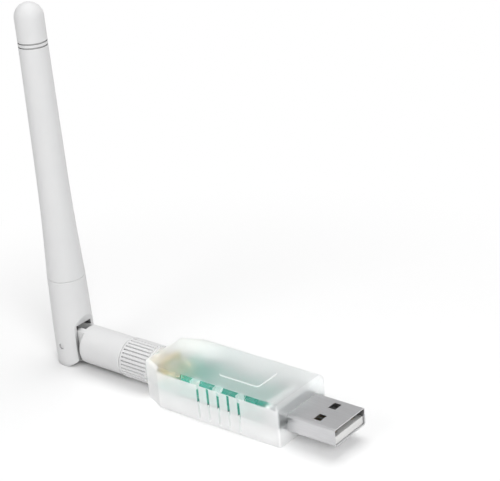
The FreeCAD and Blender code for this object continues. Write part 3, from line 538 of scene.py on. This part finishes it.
def threaded_jack():
    """The jack with its thread cut into the barrel, from its mouth to the housing's nose."""
    source = nodes["antenna_jack"]
    contact_low, contact_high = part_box("jack_contact")
    axis_z = (contact_low.z + contact_high.z) / 2
    mesh = source.data.copy()
    work = bmesh.new()
    work.from_mesh(mesh)
    bmesh.ops.remove_doubles(work, verts=work.verts[:], dist=WELD_DISTANCE)

    def on_barrel(vertex):
        reach = math.hypot(vertex.co.y, vertex.co.z - axis_z)
        return abs(reach - THREAD_RADIUS) < ROUND_TOLERANCE

    barrel = [face for face in work.faces
              if abs(face.normal.x) < UPRIGHT and all(on_barrel(v) for v in face.verts)]
    rims = {vertex for face in barrel for vertex in face.verts}
    mouth = min(vertex.co.x for vertex in rims)
    root = max(vertex.co.x for vertex in rims)
    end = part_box("upper_shell")[0].x
    first_ring = [v.co for v in rims if v.co.x < mouth + ROUND_TOLERANCE]
    angles = sorted({round(math.atan2(co.z - axis_z, co.y), SAME_ANGLE_DIGITS)
                     for co in first_ring})
    bmesh.ops.delete(work, geom=barrel, context="FACES")
    count = round((end - mouth) / THREAD_PITCH * THREAD_STEPS)
    places = [mouth + (end - mouth) * i / count for i in range(count + 1)] + [root]
    rings = []
    for x in places:
        ring = []
        for angle in angles:
            r = thread_radius(x, angle / math.tau, mouth, end)
            ring.append(work.verts.new((x, r * math.cos(angle), axis_z + r * math.sin(angle))))
        rings.append(ring)
    for ring, following in zip(rings, rings[1:]):
        for i in range(len(angles)):
            j = (i + 1) % len(angles)
            work.faces.new((ring[i], following[i], following[j], ring[j]))
    bmesh.ops.remove_doubles(work, verts=work.verts[:], dist=ROUND_TOLERANCE)
    bmesh.ops.recalc_face_normals(work, faces=work.faces[:])
    work.to_mesh(mesh)
    work.free()
    piece = bpy.data.objects.new("threaded_jack", mesh)
    bpy.context.scene.collection.objects.link(piece)
    smooth(piece)
    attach(piece, "stick")
    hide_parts("antenna_jack")


def white_for_eye(tree):
    """Factor that is 1 for rays that come from the eye, a mirror or glass."""
    path = tree.nodes.new("ShaderNodeLightPath").outputs
    mirrored = calculate(tree, "MAXIMUM", path["Is Camera Ray"], path["Is Glossy Ray"])
    return calculate(tree, "MAXIMUM", mirrored, path["Is Transmission Ray"])


def mirrored_wall(tree):
    """Strength that mirrors see: white at the horizon, and a grey wall above it."""
    path = tree.nodes.new("ShaderNodeLightPath")
    sky = tree.nodes.new("ShaderNodeTexCoord")
    rise = parts_of(tree, sky.outputs["Generated"])["Z"]
    wall = ramp(tree, rise, WALL_START, WALL_FULL, 1.0, MIRRORED_WALL)
    pick = tree.nodes.new("ShaderNodeMix")
    pick.inputs["A"].default_value = 1.0
    tree.links.new(path.outputs["Is Glossy Ray"], pick.inputs["Factor"])
    tree.links.new(wall, pick.inputs["B"])
    return pick.outputs["Result"]


def build_world():
    """Even pale light all round, and a white background."""
    world = bpy.data.worlds.new("studio")
    bpy.context.scene.world = world
    world.use_nodes = True
    tree = world.node_tree
    tree.nodes.clear()
    tree.nodes.new("ShaderNodeOutputWorld")
    ambient = tree.nodes.new("ShaderNodeBackground")
    ambient.inputs["Color"].default_value = (1, 1, 1, 1)
    ambient.inputs["Strength"].default_value = AMBIENT_LEVEL
    white = tree.nodes.new("ShaderNodeBackground")
    white.inputs["Color"].default_value = (1, 1, 1, 1)
    tree.links.new(mirrored_wall(tree), white.inputs["Strength"])
    mix_shaders(tree, white_for_eye(tree), ambient, white)


def build_floor():
    """Pale floor that keeps the shadows near the stick and fades to white around it."""
    half = FLOOR_SIZE / 2
    corners = [(-half, -half, 0), (half, -half, 0), (half, half, 0), (-half, half, 0)]
    mesh = bpy.data.meshes.new("floor")
    mesh.from_pydata(corners, [], [(0, 1, 2, 3)])
    floor = bpy.data.objects.new("floor", mesh)
    bpy.context.scene.collection.objects.link(floor)
    made, tree, shader = new_material("floor_paper")
    path = tree.nodes.new("ShaderNodeLightPath")
    shade = tint(tree, path.outputs["Is Diffuse Ray"], (FLOOR_ALBEDO,) * 3, (FLOOR_BOUNCE,) * 3)
    tree.links.new(shade, shader.inputs["Base Color"])
    shader.inputs["Roughness"].default_value = FLOOR_ROUGHNESS
    shader.inputs["Specular IOR Level"].default_value = 0.0
    coordinates = tree.nodes.new("ShaderNodeTexCoord")
    distance = tree.nodes.new("ShaderNodeVectorMath")
    distance.operation = "DISTANCE"
    plug_tip, mast_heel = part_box("usb_plug_shell")[1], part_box("mast_base")[0]
    distance.inputs[1].default_value = ((plug_tip.x + mast_heel.x) / 2, 0, 0)
    tree.links.new(coordinates.outputs["Object"], distance.inputs[0])
    fade = ramp(tree, distance.outputs["Value"], FLOOR_FADE_START, FLOOR_FADE_END)
    seen_fade = calculate(tree, "MULTIPLY", fade, white_for_eye(tree))
    glow = tree.nodes.new("ShaderNodeEmission")
    glow.inputs["Strength"].default_value = 1.0
    mix_shaders(tree, seen_fade, shader, glow)
    mesh.materials.append(made)


def area_light(name, location, size, power):
    """Round soft light at a place, aimed at the stick."""
    data = bpy.data.lights.new(name, "AREA")
    data.shape = "DISK"
    data.size = size
    data.energy = power
    light = bpy.data.objects.new(name, data)
    light.location = location
    aim = Vector(LIGHT_TARGET) - Vector(location)
    light.rotation_euler = aim.to_track_quat("-Z", "Y").to_euler()
    bpy.context.scene.collection.objects.link(light)


def build_lights():
    """One large soft light above and behind, and a weaker one on each side of the camera."""
    area_light("top_light", TOP_LIGHT_PLACE, TOP_LIGHT_SIZE, TOP_LIGHT_POWER)
    area_light("right_light", RIGHT_LIGHT_PLACE, SIDE_LIGHT_SIZE, RIGHT_LIGHT_POWER)
    area_light("left_light", LEFT_LIGHT_PLACE, SIDE_LIGHT_SIZE, LEFT_LIGHT_POWER)


def build_camera():
    """The photograph's viewpoint: its direction, roll, focal length and optical centre."""
    azimuth, elevation = CAMERA_AZIMUTH, CAMERA_ELEVATION
    back = Vector((math.sin(azimuth) * math.cos(elevation),
                   -math.cos(azimuth) * math.cos(elevation), math.sin(elevation)))
    right = Vector((math.cos(azimuth), math.sin(azimuth), 0))
    up = back.cross(right)
    rolled_right = math.cos(CAMERA_ROLL) * right + math.sin(CAMERA_ROLL) * up
    rolled_up = -math.sin(CAMERA_ROLL) * right + math.cos(CAMERA_ROLL) * up
    turn = Matrix((rolled_right, rolled_up, back)).transposed().to_4x4()
    data = bpy.data.cameras.new("camera")
    data.sensor_width = SENSOR_WIDTH
    data.lens = FOCAL_PIXELS * SENSOR_WIDTH / PHOTO_WIDTH
    data.shift_x = (PHOTO_WIDTH / 2 - CENTRE_PIXEL[0]) / PHOTO_WIDTH
    data.shift_y = (CENTRE_PIXEL[1] - PHOTO_HEIGHT / 2) / PHOTO_WIDTH
    data.clip_start = CLIP_START
    camera = bpy.data.objects.new("camera", data)
    camera.matrix_world = Matrix.Translation(CAMERA_TARGET + CAMERA_DISTANCE * back) @ turn
    bpy.context.scene.collection.objects.link(camera)
    bpy.context.scene.camera = camera


dress_nodes()
threaded_jack()
build_world()
build_floor()
build_lights()
build_camera()
bpy.context.scene.view_settings.view_transform = "Standard"
